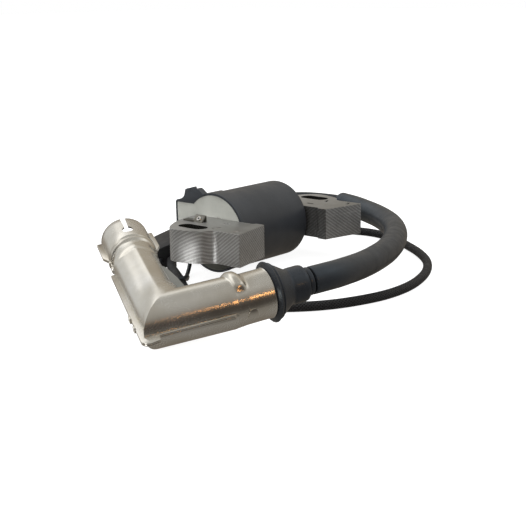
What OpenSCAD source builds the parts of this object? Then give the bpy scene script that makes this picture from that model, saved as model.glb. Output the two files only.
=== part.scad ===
// Small-engine ignition coil with a high-voltage lead and a metal-shielded plug cap.
// Millimetres. Origin midway between the two mounting slots, on the core's bottom face.
// +X runs along the line of the slots to the rear foot, +Z up along the bolts,
// and the poles that face the flywheel point to -Y.

/* [Mounting] */
// Distance between the centres of the two mounting slots
slot_spacing = 80; // [78:0.5:82]
// Width of each slot
slot_w = 6.5; // [5.5:0.1:7]
// Length of each slot, end to end
slot_l = 14; // [11:0.5:15]

/* [Core] */
// Thickness of the lamination stack
core_t = 13.5; // [13:0.1:14]
// Width of the leg through the windings
leg_w = 11; // [10:0.1:11.5]

/* [Coil case] */
// Outside radius of the round case
case_r = 17; // [16.8:0.1:17]
// Length of the case between the feet
case_l = 43; // [42.5:0.1:43]
// Wall thickness of the case
case_wall = 0.9; // [0.7:0.1:1]
// Radius of the high-voltage tower
tower_r = 6; // [5.6:0.1:6.5]

/* [Leads] */
// Diameter of the high-voltage lead
lead_d = 7; // [6.6:0.1:7]
// Outside diameter of the protective sleeve on that lead
sleeve_d = 10.2; // [9.4:0.1:10.4]
// Diameter of the braided kill lead
kill_d = 3.8; // [3:0.1:3.8]
// Diameter of the ground wire
ground_d = 1.7; // [1.4:0.1:1.7]

/* [Plug cap] */
// Radius of the shield on the arm that the lead enters
lead_arm_r = 9.3; // [9:0.1:9.5]
// Radius of the shield on the arm that takes the plug
plug_arm_r = 7.8; // [7.8:0.1:8]
// Length of the plug arm from the corner to its mouth
plug_arm_l = 68; // [66:0.5:70]
// Sheet thickness of the shield
sheet_t = 0.6; // [0.4:0.1:0.6]
// Radius of the terminal nut's socket
plug_nut_r = 3.2; // [3.18:0.01:3.3]

/* [Hidden] */
$fn = 48;

// Core
slot_x = slot_spacing / 2;
inner_x = case_l / 2 + 0.2;
tongue_l = 6;
axis_y = 6;
axis_z = core_t / 2;

// Case
front_x = -case_l / 2;
rear_x = case_l / 2;
bore_r = case_r - case_wall;
end_wall = 1.5;
chamber_end_x = 6;
chamber_y = 28.2;
chamber_low = -6;
chamber_top = 19.1;
chamber_wall = 1;
clip_t = 3;
tower_y = 30;
tower_z = 8;
tower_end_x = 23;
tower_bore_r = 4.8;
lead_start_x = 8;
kill_exit_y = 15;
kill_exit_z = -3.6;
kill_hole_r = 2.3;
epoxy_face_x = front_x + 0.3;
epoxy_t = 3;

// Windings
wind_x0 = -17.5;
wind_x1 = 19.5;
flange_t = 1.2;
former_wall = 0.9;
primary_t = 1.8;
secondary_in_r = 11.2;
secondary_hub_r = 12.2;
secondary_out_r = 15.2;
chambers = 6;

// Plug cap
cap_corner = [-105.7, -50, -0.9];
cap_turn = [11.5, -8.6, -33];
bend_x = 24;
bend_turn = [0, 3, 8.5];
shield_end = 12.5;
body_r = 7;
body_end = 10;
spigot_r = 6.6;
lead_bore_r = lead_d / 2 + 0.3;
lead_tip = -14;
sleeve_end = 30.2;
well_r = 5.6;
well_floor = 20;
well_mouth = 45;
collar_r = plug_arm_r + 1.4;

// Connector
housing_start = [-28.3, 28.1];
housing_turn = 49;
housing_w = 8.5;
housing_l = 28;
table_z = -10.25;

// The point v after the turns that rotate([a.x, a.y, a.z]) makes
function turn_x(v, a) = [v.x, v.y * cos(a) - v.z * sin(a), v.y * sin(a) + v.z * cos(a)];
function turn_y(v, a) = [v.x * cos(a) + v.z * sin(a), v.y, -v.x * sin(a) + v.z * cos(a)];
function turn_z(v, a) = [v.x * cos(a) - v.y * sin(a), v.x * sin(a) + v.y * cos(a), v.z];
function turned(v, a) = turn_z(turn_y(turn_x(v, a.x), a.y), a.z);

// The straight end of the lead inside the boot: a point at t along the boot's axis
bend_point = cap_corner + turned([bend_x, 0, 0], cap_turn);
boot_axis = turned(turned([1, 0, 0], bend_turn), cap_turn);
function on_boot_axis(t) = bend_point + t * boot_axis;

// Routes of the leads, from the coil outwards
lead_free = [
    [lead_start_x, tower_y, tower_z], [25, 30, 8], [35, 30.8, 8], [44.5, 29.6, 8],
    [52.5, 25.4, 8], [58.8, 18.5, 7.9], [62.6, 10, 7.5]
];
sleeve_free = [
    [64, 2.5, 7.1], [62.6, -6, 6.6], [59.4, -15, 6.1], [54.2, -26, 5.5], [46, -37.6, 5],
    [34.8, -48, 4.7], [20, -57.5, 4.5], [3, -65.4, 4.6], [-15, -71.4, 5.2], [-26, -74.2, 5.7],
    [-35, -76.1, 6.3], [-42.2, -77.3, 6.8], [-47.6, -77.7, 7], [-53, -77.1, 7]
];
sleeve_route = concat(sleeve_free, [on_boot_axis(sleeve_end)]);
lead_route = concat(lead_free, sleeve_route, [for (t = [20, 0, lead_tip]) on_boot_axis(t)]);
kill_route = [
    [20, kill_exit_y, kill_exit_z], [26, 15, -3.6], [33, 17, -5], [41, 21, -7.5], [50, 23.6, -8.35],
    [60, 21.5, -8.35], [68.5, 14, -8.35], [74, 4, -8.35], [76, -6, -8.35], [74.3, -16, -8.35],
    [70, -25.5, -8.35], [63, -36, -8.35], [54, -48, -8.35], [43, -59, -8.35], [30, -67.5, -8.35],
    [16, -73.3, -8.35], [1.5, -76.5, -8.35], [-13, -76.4, -8.35], [-26, -73, -8.35],
    [-38, -67.3, -8.35], [-48, -59, -8.35], [-56, -48.5, -8.35], [-61, -37, -8.35],
    [-62, -25.5, -8.35], [-58.5, -14.5, -8.35], [-52, -5.5, -8.35], [-45, 3.5, -8.35],
    [-38.5, 12.5, -8.35], [-32.6, 20.9, -8], [-26.9, 26.8, -7]
];
ground_route = [
    [epoxy_face_x, 19, -3.2], [-24.5, 17.6, -4], [-28.4, 13.9, -6.3], [-32.6, 11, -8.7],
    [-37.3, 7.4, -9.3], [-42, 2.6, -8.6], [-46.2, -2, -6], [-50.5, -4.6, -5.2], [-54.5, -3.2, -5.6],
    [-55.8, 1, -7.4], [-53, 6.6, -9.2], [-47, 14, -9.3], [-40.4, 21.6, -9.2], [-35, 26.2, -8],
    [-30.1, 29.7, -6.6]
];

// Rings of n points round each point of a route, facing along it
function unit(v) = v / norm(v);
function heading(p, i) = unit(p[min(i + 1, len(p) - 1)] - p[max(i - 1, 0)]);
function ring_at(c, t, r, n, up) =
    let (side = unit(cross(t, up)), high = cross(side, t))
    [for (k = [0:n - 1]) c + r * (cos(360 * k / n) * side + sin(360 * k / n) * high)];
function rings(p, r, n, up) = [for (i = [0:len(p) - 1]) each ring_at(p[i], heading(p, i), r, n, up)];
function quads(a, b, n) = [for (k = [0:n - 1]) [a + k, a + (k + 1) % n, b + (k + 1) % n, b + k]];

// A solid lead of n sides along a route; up is a direction that the route never takes
module lead(p, r, n, up = [0, 0, 1]) {
    last = (len(p) - 1) * n;
    polyhedron(
        rings(p, r, n, up),
        concat(
            [[for (k = [0:n - 1]) k]],
            [for (i = [0:len(p) - 2]) each quads((i + 1) * n, i * n, n)],
            [[for (k = [n - 1:-1:0]) last + k]]
        ),
        convexity = 10
    );
}

// A hollow sleeve of n sides along a route
module sleeve(p, r_out, r_in, n, up = [0, 0, 1]) {
    inner = len(p) * n;
    last = (len(p) - 1) * n;
    polyhedron(
        concat(rings(p, r_out, n, up), rings(p, r_in, n, up)),
        concat(
            quads(0, inner, n),
            [for (i = [0:len(p) - 2]) each quads((i + 1) * n, i * n, n)],
            [for (i = [0:len(p) - 2]) each quads(inner + i * n, inner + (i + 1) * n, n)],
            quads(inner + last, last, n)
        ),
        convexity = 10
    );
}

// A round bar along +X
module x_bar(x0, x1, y, z, r) translate([x0, y, z]) rotate([0, 90, 0]) cylinder(r = r, h = x1 - x0);

// A flat outline, drawn as (y, z), extruded from x0 to x1
module across(x0, x1) translate([x0, 0, 0]) rotate([90, 0, 90]) linear_extrude(x1 - x0) children();

// A rectangle with rounded corners, centred
module round_rect(w, h, r) {
    square([w - 2 * r, h], center = true);
    square([w, h - 2 * r], center = true);
    for (x = [-1, 1], y = [-1, 1])
        translate([x * (w / 2 - r), y * (h / 2 - r)]) circle(r = r);
}

// Points of a cubic curve, leaving out its first point
function curve(a, b, c, d, n) = [for (i = [1:n]) let (t = i / n, s = 1 - t)
    s * s * s * a + 3 * s * s * t * b + 3 * s * t * t * c + t * t * t * d];

// Outline of one foot, drawn for +X
module foot_outline() {
    toe = [slot_x + 0.8, -14.5];
    shoulder = [slot_x + 4.8, -9.3];
    crown = [slot_x + 8.4, 2];
    heel = [slot_x + 1.6, 10.6];
    back = [inner_x, 15.8];
    polygon(concat(
        [[inner_x, -16.2], [inner_x - 1.3, -17.2], [inner_x - 1.3, -21.4], [slot_x + 0.8, -25.9], toe],
        curve(toe, toe + [0, 3], shoulder - [2, 1.4], shoulder, 6),
        curve(shoulder, shoulder + [1.6, 2], crown - [0.3, 4], crown, 6),
        curve(crown, crown + [0.3, 4.6], heel + [3.4, -2.2], heel, 8),
        curve(heel, heel + [-5.6, 3.4], back + [8, 0], back, 8)
    ));
}

// One foot with its slot and the small dents that lock the sheets together
module foot() difference() {
    linear_extrude(core_t) foot_outline();
    translate([slot_x, 0, -1]) linear_extrude(core_t + 2) {
        square([slot_w, slot_l - slot_w], center = true);
        for (s = [-1, 1]) translate([0, s * (slot_l - slot_w) / 2]) circle(d = slot_w);
    }
    for (p = [[slot_x - 3.6, -9.8, 25], [slot_x - 12.4, -7.2, 90], [slot_x - 2.8, -21.1, 20]])
        translate([p.x, p.y, core_t]) rotate([0, 0, p.z]) cube([4, 1.2, 0.8], center = true);
}

module leg(x0, x1, gap) translate([x0, axis_y - leg_w / 2 - gap, -gap])
    cube([x1 - x0, leg_w + 2 * gap, core_t + 2 * gap]);

module front_lamination_stack() color([0.52, 0.52, 0.49]) {
    mirror([1, 0, 0]) foot();
    leg(-inner_x - 1, inner_x + tongue_l, 0);
}

module rear_lamination_stack() color([0.52, 0.52, 0.49]) difference() {
    foot();
    translate([inner_x - 1, axis_y - leg_w / 2, -1]) cube([tongue_l + 1, leg_w, core_t + 2]);
}

// The drum's outside: a raised front rim and a rounded rear edge
module drum() translate([0, axis_y, axis_z]) rotate([0, 90, 0]) rotate_extrude()
    polygon(concat(
        [[0, front_x], [case_r, front_x], [case_r, front_x + 1.8], [case_r - 0.25, front_x + 2.1]],
        [for (a = [0:15:90]) [case_r - 1.75 + 1.5 * cos(a), rear_x - 1.5 + 1.5 * sin(a)]],
        [[0, rear_x]]
    ));

module chamber_outline(grow) translate([chamber_y - 10, (chamber_low + chamber_top) / 2])
    round_rect(20 + 2 * grow, chamber_top - chamber_low + 2 * grow, 1.4 + grow);

// Raised clip on top of the chamber, with a concave shoulder and a small notch
module clip_outline() polygon(concat(
    [[11.6, 17], [26.8, 17], [26.8, chamber_top]],
    curve([26.8, chamber_top], [24, 19.8], [22.8, 20.6], [22.6, 22.6], 6),
    [[22.3, 23.8], [21.2, 24.4], [18.9, 24.9], [18.3, 25.2], [17.9, 24.1], [17.2, 24.1], [16.7, 24.6],
        [15.4, 24.9], [14.4, 24.6], [11.6, 22.6]]
));

module inside_outline() {
    translate([axis_y, axis_z]) circle(r = bore_r);
    chamber_outline(-chamber_wall);
}

module coil_case() color([0.2, 0.2, 0.21]) difference() {
    union() {
        drum();
        across(front_x, chamber_end_x) chamber_outline(0);
        across(front_x, front_x + clip_t) clip_outline();
        across(-chamber_end_x, chamber_end_x) translate([tower_y - 1, tower_z])
            round_rect(15, 2 * tower_r, 2);
        x_bar(0, tower_end_x, tower_y, tower_z, tower_r);
    }
    across(front_x - 1, chamber_end_x - chamber_wall) inside_outline();
    x_bar(0, rear_x - end_wall, axis_y, axis_z, bore_r);
    leg(0, rear_x + 1, 0.15);
    x_bar(15, rear_x + 1, kill_exit_y, kill_exit_z, kill_hole_r);
    x_bar(lead_start_x, tower_end_x + 1, tower_y, tower_z, tower_bore_r);
    x_bar(-1, lead_start_x + 1, tower_y, tower_z, 1);
    translate([0, 20, tower_z]) rotate([-90, 0, 0]) cylinder(r = 1, h = tower_y - 20);
}

module epoxy_fill() color([0.78, 0.77, 0.74]) difference() {
    across(epoxy_face_x, epoxy_face_x + epoxy_t) inside_outline();
    leg(front_x - 1, 0, 0);
}

// Earth tab: a strip laid on the foot, with its end folded up like a ridge
tab_t = 0.6;
ridge_h = 2.6;
tab_foot = [-33.2, 1.8];
tab_l = 11;
fold_l = 5.4;
eyelet_y = 4.4;
module in_eyelet() translate([tab_foot.x + ridge_h / 2, eyelet_y, core_t + ridge_h / 2])
    rotate([0, -45, 0]) children();

module ground_tab() color([0.6, 0.6, 0.57]) difference() {
    union() {
        translate([tab_foot.x, tab_foot.y + fold_l, core_t]) rotate([90, 0, 0]) linear_extrude(fold_l)
            polygon([[0, 0], [ridge_h, ridge_h], [ridge_h + tab_t, ridge_h], [ridge_h + tab_t, 0],
                [ridge_h, 0], [ridge_h, ridge_h - 1.2 * tab_t], [1.4 * tab_t, 0]]);
        translate([tab_foot.x, tab_foot.y + fold_l - tab_t, core_t])
            cube([ridge_h + tab_t, tab_l - fold_l, tab_t]);
    }
    in_eyelet() translate([0, 0, -2]) cylinder(r = 0.8, h = 4);
}

module ground_rivet() color([0.75, 0.74, 0.7]) in_eyelet() difference() {
    union() {
        translate([0, 0, -0.6]) cylinder(r = 0.8, h = 0.7);
        cylinder(r1 = 1.15, r2 = 0.95, h = 0.35);
    }
    translate([0, 0, -1]) cylinder(r = 0.5, h = 2);
}

module hv_lead() color([0.1, 0.1, 0.1]) lead(lead_route, lead_d / 2, 12);

module hv_sleeve() color([0.16, 0.16, 0.16]) sleeve(sleeve_route, sleeve_d / 2, lead_d / 2 + 0.3, 12);

module kill_lead() color([0.1, 0.1, 0.1]) lead(kill_route, kill_d / 2, 8);

module ground_wire() color([0.08, 0.08, 0.08]) lead(ground_route, ground_d / 2, 8);

// Housing of the two-pole connector, lying on the table
module in_housing() translate([housing_start.x, housing_start.y, 0]) rotate([0, 0, housing_turn])
    children();

module connector_housing() color([0.1, 0.1, 0.1]) in_housing() difference() {
    across(0, housing_l) polygon([[-housing_w / 2, table_z], [housing_w / 2, table_z],
        [housing_w / 2, -2.6], [housing_w / 2 - 0.8, -2], [-housing_w / 2 + 0.8, 0.9],
        [-housing_w / 2, 0.4]]);
    translate([10, -2.9, table_z + 1.4]) cube([housing_l, 5.8, 5.6]);
    blades(7);
}

module blades(l) for (y = [-1.9, 1.1]) translate([4, y, table_z + 2]) cube([l, 0.8, 4.4]);

module connector_terminals() color([0.8, 0.65, 0.3]) in_housing() blades(18);

// Rounded outline of a layer that stands off the leg
module leg_layer(off, r) translate([axis_y, axis_z]) round_rect(leg_w + 2 * off, core_t + 2 * off, r);

module primary_bobbin() color([0.85, 0.82, 0.74]) difference() {
    union() {
        across(wind_x0, wind_x1) leg_layer(former_wall, 0.8);
        for (x = [wind_x0, wind_x1 - flange_t])
            across(x, x + flange_t) leg_layer(former_wall + primary_t, 4);
    }
    leg(wind_x0 - 1, wind_x1 + 1, 0);
}

module primary_winding() color([0.72, 0.4, 0.18])
    across(wind_x0 + flange_t, wind_x1 - flange_t) difference() {
        leg_layer(former_wall + primary_t - 0.1, 4);
        leg_layer(former_wall, 0.8);
    }

// A body of revolution about the case's axis
module about_axis() translate([0, axis_y, axis_z]) rotate([0, 90, 0]) rotate_extrude() children();

pitch = (wind_x1 - wind_x0 - flange_t) / chambers;

module secondary_bobbin() color([0.88, 0.86, 0.8]) about_axis() {
    translate([secondary_in_r, wind_x0]) square([secondary_hub_r - secondary_in_r, wind_x1 - wind_x0]);
    for (i = [0:chambers]) translate([secondary_in_r, wind_x0 + i * pitch])
        square([secondary_out_r - secondary_in_r, flange_t]);
}

module secondary_winding() color([0.7, 0.36, 0.16]) about_axis()
    for (i = [0:chambers - 1]) translate([secondary_hub_r, wind_x0 + i * pitch + flange_t])
        square([secondary_out_r - secondary_hub_r - 0.5, pitch - flange_t]);

module hv_terminal() color([0.8, 0.66, 0.32]) {
    x_bar(0, lead_start_x, tower_y, tower_z, 1);
    translate([0, 25.6, tower_z]) rotate([-90, 0, 0]) cylinder(r = 1, h = tower_y - 25.6);
}

module hv_tower_grommet() color([0.12, 0.12, 0.12]) difference() {
    union() {
        x_bar(lead_start_x, tower_end_x, tower_y, tower_z, tower_bore_r);
        x_bar(tower_end_x, tower_end_x + 1.6, tower_y, tower_z, tower_r);
    }
    x_bar(lead_start_x - 1, tower_end_x + 3, tower_y, tower_z, lead_d / 2);
}

module kill_wire_grommet() color([0.12, 0.12, 0.12]) difference() {
    union() {
        x_bar(rear_x - end_wall, rear_x + 0.1, kill_exit_y, kill_exit_z, kill_hole_r);
        x_bar(rear_x, rear_x + 2, kill_exit_y, kill_exit_z, kill_hole_r + 0.5);
    }
    x_bar(rear_x - 3, rear_x + 3, kill_exit_y, kill_exit_z, kill_d / 2);
}

board_y = 22.4;
board_t = 1.2;

module control_board() color([0.1, 0.35, 0.2]) translate([-16, board_y, -3.5]) cube([19, board_t, 19]);

// Chips and capacitors, as separate blocks on the board
module board_components() color([0.25, 0.25, 0.27]) translate([0, board_y + board_t, 0])
    for (c = [[-14, 12, 3, 1.6], [-14, 8, 3, 1.6], [-9, 12, 4, 2], [-3, 12, 2, 1.2], [0, 12, 2, 1.2],
        [-3, 8.6, 2, 1.2], [-14, -1, 4.5, 2.2], [-14, 3, 2, 1.2]])
        translate([c[0], 0, c[1]]) cube([c[2], 1.6, c[3]]);

module power_transistor() color([0.12, 0.12, 0.13]) translate([-7, board_y + board_t, -2.5]) {
    cube([6.5, 2.1, 6]);
    translate([0.6, 0, 6]) cube([5.3, 0.6, 1.2]);
    for (x = [0.6, 4.9]) translate([x, 0, -0.8]) cube([1, 0.6, 0.8]);
}

// Places things on the cap: X along the lead's arm, Y along the plug's arm, Z off the seam
module in_cap() translate(cap_corner) rotate(cap_turn) children();
module in_bend() translate([bend_x, 0, 0]) rotate(bend_turn) children();
module in_boot() in_cap() in_bend() children();
module along_x() rotate([0, 90, 0]) rotate_extrude() children();
module along_y() rotate([-90, 0, 0]) rotate_extrude() children();

// The part of the children on the lead arm's side of the mitre at the corner
module lead_side() intersection() {
    children();
    rotate([0, 0, 45]) translate([-30, -60, -20]) cube([100, 60, 40]);
}
module plug_side() intersection() {
    children();
    rotate([0, 0, 45]) translate([-30, 0, -20]) cube([140, 60, 40]);
}

// Solid outline of the shield, or of the space inside it, cut is the sheet taken off
module shield_form(cut) {
    lead_side() along_x() translate([0, -14]) square([lead_arm_r - cut, 14 + bend_x + 0.4]);
    plug_side() along_y() polygon([
        [0, -14], [plug_arm_r - cut, -14], [plug_arm_r - cut, 44], [plug_arm_r + 0.5 - cut, 52],
        [collar_r - cut, 53.6], [collar_r + 0.2 - cut, 54.6], [collar_r - 0.5 - cut, 56.2],
        [collar_r - cut, 57.4], [collar_r - cut, plug_arm_l + cut], [0, plug_arm_l + cut]
    ]);
    in_bend() along_x() polygon([
        [0, -1.6], [lead_arm_r - cut, -1.6], [lead_arm_r + 1 - cut, -0.8], [lead_arm_r + 1 - cut, 1.8],
        [lead_arm_r - 0.4 - cut, 2.8], [lead_arm_r - 0.4 - cut, shield_end + cut], [0, shield_end + cut]
    ]);
}

// Crimped lip round the outside of the elbow and fins beside the collar, in the seam plane
module lip_outline() {
    polygon(concat(
        [[-10.9, 39.5], [-10.9, -11.5]],
        [for (a = [180:30:270]) [-7.9 + 3 * cos(a), -11.5 + 3 * sin(a)]],
        [[-4, -13.2], [-1, -11.2], [9.5, -10.3], [18, -10.2], [bend_x, -9.6], [bend_x, -7], [-6, -7],
            [-6, 39.5]]
    ));
    for (s = [-1, 1]) polygon([[s * 7, 50], [s * 8.6, 50], [s * 11, 55], [s * 11, plug_arm_l],
        [s * 8.6, plug_arm_l], [s * 7, 55]]);
}

// One half of the shield; side is 1 above the seam and -1 below it
module shield_half(side) intersection() {
    difference() {
        union() {
            shield_form(0);
            translate([0, 0, -sheet_t]) linear_extrude(2 * sheet_t) lip_outline();
        }
        shield_form(sheet_t);
    }
    translate([-30, -30, side > 0 ? 0 : -20]) cube([100, 110, 20]);
}

module shield_upper() color([0.8, 0.79, 0.75]) in_cap() difference() {
    shield_half(1);
    translate([-0.6, plug_arm_l - 5, 2]) cube([2.6, 6, 12]);
    translate([0.7, 61, 2]) cylinder(r = 2.35, h = 12);
}

module shield_lower() color([0.76, 0.74, 0.7]) in_cap() shield_half(-1);

module cap_boot() color([0.14, 0.14, 0.14]) in_boot() along_x() polygon([
    [lead_bore_r, body_end + 0.2], [spigot_r + 0.1, body_end + 0.2], [spigot_r + 0.1, 5], [8.1, 5],
    [8.1, shield_end + 0.1], [10.5, shield_end + 0.4], [10.9, 13.6], [10.9, 14.8], [10.3, 15.3],
    [10.3, 16.2], [9.6, 17], [6.5, 20.2], [6.1, 21.4], [6.3, 26.6], [5.9, 27.3], [5.2, 27.6],
    [lead_bore_r, 27.6]
]);

module lead_seal() color([0.1, 0.1, 0.1]) in_boot() along_x()
    translate([lead_d / 2 + 0.1, 27.9]) square([1.5, 1.9]);

module cap_body() color([0.22, 0.22, 0.22]) in_cap() difference() {
    union() {
        lead_side() along_x() translate([0, -10]) square([body_r, bend_x + 10.4]);
        plug_side() along_y() translate([0, -10]) square([body_r, well_mouth + 10]);
        in_bend() along_x() translate([0, -2]) square([spigot_r, body_end + 2]);
    }
    in_bend() along_x() translate([0, lead_tip - 0.4]) square([lead_bore_r, 40]);
    along_x() square([2, 12]);
    along_y() translate([0, -3]) square([2.7, well_floor]);
    along_y() translate([0, well_floor - 4]) square([4.5, 10]);
    along_y() translate([0, well_floor + 2.5]) square([5.1, 5]);
    along_y() translate([0, well_floor + 6.4]) square([well_r, well_mouth]);
}

// Wood screw that bites into the core of the lead
module lead_screw() color([0.8, 0.66, 0.32]) in_cap() {
    along_x() polygon([[0, 2.8], [1.9, 2.8], [1.9, 4.4], [1.1, 4.4], [1.1, 8.4], [0, 9.4]]);
}

module cap_resistor() color([0.7, 0.66, 0.58]) in_cap() along_y()
    polygon([[0, -2.8], [1.2, -2.8], [2.5, -2.2], [2.5, 8.4], [1.2, 9], [0, 9]]);

// Coil spring between the resistor and the plug terminal
spring_turns = 4;
spring_steps = 10;
spring_y = 9.4;
spring_l = 6.5;
function spring_point(i) = let (a = 360 * i / spring_steps)
    [2 * cos(a), spring_y + spring_l * i / (spring_turns * spring_steps), 2 * sin(a)];
module contact_spring() color([0.7, 0.7, 0.7]) in_cap()
    lead([for (i = [0:spring_turns * spring_steps]) spring_point(i)], 0.3, 8, [0, 1, 0]);

module plug_terminal() color([0.8, 0.66, 0.32]) in_cap() along_y() polygon([
    [0, well_floor - 3.7], [4.3, well_floor - 3.7], [4.3, well_floor + 6], [plug_nut_r, well_floor + 6],
    [plug_nut_r, well_floor - 2.5], [0, well_floor - 2.5]
]);

module snap_ring() color([0.6, 0.6, 0.62]) in_cap() difference() {
    along_y() translate([4.32, well_floor + 3]) square([0.7, 1]);
    translate([-1, well_floor + 2, 0]) cube([2, 3, 8]);
}

module plug_seal() color([0.1, 0.1, 0.1]) in_cap() along_y() polygon([
    [well_r, well_mouth], [body_r, well_mouth], [body_r, well_mouth + 4], [6.2, well_mouth + 5.4],
    [well_r, well_mouth + 5.4]
]);

front_lamination_stack();
rear_lamination_stack();
coil_case();
epoxy_fill();
ground_tab();
ground_rivet();
hv_lead();
hv_sleeve();
lead_seal();
cap_boot();
shield_upper();
shield_lower();
kill_lead();
ground_wire();
connector_housing();
primary_bobbin();
primary_winding();
secondary_bobbin();
secondary_winding();
hv_terminal();
control_board();
board_components();
power_transistor();
hv_tower_grommet();
kill_wire_grommet();
cap_body();
lead_screw();
cap_resistor();
contact_spring();
plug_terminal();
snap_ring();
plug_seal();
connector_terminals();
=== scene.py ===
import math
import random

import bmesh
import bpy
from mathutils import Matrix, Vector, noise
from mathutils.geometry import delaunay_2d_cdt, interpolate_bezier, tessellate_polygon


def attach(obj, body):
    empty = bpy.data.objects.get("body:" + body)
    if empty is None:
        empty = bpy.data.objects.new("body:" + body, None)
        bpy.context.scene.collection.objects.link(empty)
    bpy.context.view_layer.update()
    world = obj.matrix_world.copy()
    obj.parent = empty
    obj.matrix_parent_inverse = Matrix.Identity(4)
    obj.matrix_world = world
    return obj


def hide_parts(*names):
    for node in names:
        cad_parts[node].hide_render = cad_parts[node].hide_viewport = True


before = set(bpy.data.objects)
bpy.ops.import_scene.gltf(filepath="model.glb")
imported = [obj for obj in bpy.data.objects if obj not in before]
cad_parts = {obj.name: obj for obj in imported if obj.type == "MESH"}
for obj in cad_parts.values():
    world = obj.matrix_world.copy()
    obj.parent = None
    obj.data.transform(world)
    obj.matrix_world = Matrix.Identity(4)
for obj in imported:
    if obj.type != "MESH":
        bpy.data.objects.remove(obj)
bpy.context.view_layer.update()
scene = bpy.context.scene
MM = 0.001

# The coil's driving sizes, in millimetres, in the same frame as the CAD.
AXIS_Y, AXIS_Z = 6.0, 6.75  # the drum's axis, which runs along x
CORE_T = 13.5  # height of the stack of sheets
LEG_LOW, LEG_HIGH, LEG_END = 0.5, 11.5, 27.7  # the core's leg: its two sides in y and its end in x
SLOT_X, SLOT_R, SLOT_HALF = 40.0, 3.25, 3.75  # a slot's middle, its ends' radius and how far off they are
CHAMBER_Y, CHAMBER_Z = (9.2, 27.2), (-5, 18.1)  # the inside of the case's side chamber
RESIN_R, RESIN_FACE, RESIN_BACK = 16.1, -21.2, -18.2  # the drum's inside, and the resin's two faces in x
SHEET = 0.6  # thickness of the cap's shield


# ---------------------------------------------------------------- camera
def look_from(azimuth, elevation, roll):
    """The axes of a camera that looks at the object from this direction, in degrees."""
    a, e, r = (math.radians(v) for v in (azimuth, elevation, roll))
    back = Vector((math.sin(a) * math.cos(e), -math.cos(a) * math.cos(e), math.sin(e)))
    right = (-back).cross(Vector((0, 0, 1))).normalized()
    up = right.cross(-back)
    right, up = right * math.cos(r) + up * math.sin(r), up * math.cos(r) - right * math.sin(r)
    return Matrix((right, up, back)).transposed()


camera = bpy.data.objects.new("camera", bpy.data.cameras.new("camera"))
scene.collection.objects.link(camera)
aim = look_from(azimuth=-49.21, elevation=13.74, roll=-0.90)
camera.matrix_world = Matrix.Translation((-0.3531, -0.3074, 0.1048)) @ aim.to_4x4()
camera.data.sensor_width = 36
camera.data.lens = 75.29
camera.data.clip_start = 0.01
scene.camera = camera


# ---------------------------------------------------------------- materials
class Nodes:
    """A node tree, built node by node."""

    def __init__(self, tree):
        self.tree = tree

    def node(self, kind, inputs=(), **settings):
        """One shader node. Each value in inputs is a socket to link or a constant for that input."""
        n = self.tree.nodes.new("ShaderNode" + kind)
        for key, value in settings.items():
            setattr(n, key, value)
        for key, value in dict(inputs).items():
            if isinstance(value, bpy.types.NodeSocket):
                self.tree.links.new(value, n.inputs[key])
            else:
                n.inputs[key].default_value = value
        return n

    def math(self, operation, a, b=0.0, c=0.0):
        return self.node("Math", {0: a, 1: b, 2: c}, operation=operation).outputs[0]

    def span(self, value, low, high, to_low=0.0, to_high=1.0):
        keys = {"Value": value, "From Min": low, "From Max": high, "To Min": to_low, "To Max": to_high}
        return self.node("MapRange", keys).outputs[0]

    def colours(self, value, *stops):
        """A colour ramp. Each stop is a position and a colour."""
        ramp = self.node("ValToRGB", {"Fac": value})
        for element, (position, colour) in zip(ramp.color_ramp.elements, (stops[0], stops[-1])):
            element.position = position
            element.color = (*colour, 1)
        for position, colour in stops[1:-1]:
            ramp.color_ramp.elements.new(position).color = (*colour, 1)
        return ramp.outputs[0]

    def blend(self, share, first, second, **settings):
        """The first colour, and the second one where share is 1."""
        return self.node("Mix", {0: share, 6: first, 7: second}, data_type="RGBA", **settings).outputs[2]


class Finish(Nodes):
    """One procedural material."""

    def __init__(self, name, **sockets):
        self.material = bpy.data.materials.new(name)
        self.material.use_nodes = True
        super().__init__(self.material.node_tree)
        self.shader = self.tree.nodes["Principled BSDF"]
        for key, value in sockets.items():
            self.shader.inputs[key.replace("_", " ")].default_value = value

    def place(self, scale=(1, 1, 1), source="Object"):
        coords = self.node("TexCoord").outputs[source]
        return self.node("Mapping", {"Vector": coords, "Scale": scale}).outputs[0]

    def noise(self, scale, detail=4, rough=0.5, place=None):
        where = place if place is not None else self.place()
        keys = {"Vector": where, "Scale": scale, "Detail": detail, "Roughness": rough}
        return self.node("TexNoise", keys).outputs["Fac"]

    def set(self, socket, value):
        self.tree.links.new(value, self.shader.inputs[socket])

    def bump(self, height, distance, strength=1.0, under=None):
        keys = {"Height": height, "Distance": distance, "Strength": strength}
        if under is not None:
            keys["Normal"] = under
        normal = self.node("Bump", keys).outputs[0]
        self.set("Normal", normal)
        return normal


def tone(colour, factor):
    return tuple(min(1.0, c * factor) for c in colour)


def plastic(name, colour, rough, **sockets):
    """Moulded plastic with a fine grain."""
    f = Finish(name, **sockets)
    f.set("Base Color", f.colours(f.noise(60, 5), (0.3, tone(colour, 0.86)), (0.7, tone(colour, 1.16))))
    f.set("Roughness", f.span(f.noise(160, 4), 0.3, 0.7, rough - 0.07, rough + 0.07))
    under = f.bump(f.noise(900, 3, 0.6), 0.00004, 0.7)
    f.bump(f.noise(120, 2), 0.0001, 0.35, under)
    return f.material


def metal(name, colour, rough):
    """Metal with fine drawing marks across its height."""
    f = Finish(name, Metallic=1.0)
    drawn = f.noise(1, 3, 0.6, f.place((300, 300, 6000)))
    f.set("Base Color", f.colours(f.noise(120, 5), (0.3, tone(colour, 0.88)), (0.7, tone(colour, 1.08))))
    f.set("Roughness", f.span(drawn, 0.3, 0.7, rough - 0.06, rough + 0.1))
    f.bump(drawn, 0.000006, 0.8)
    return f.material


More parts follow.
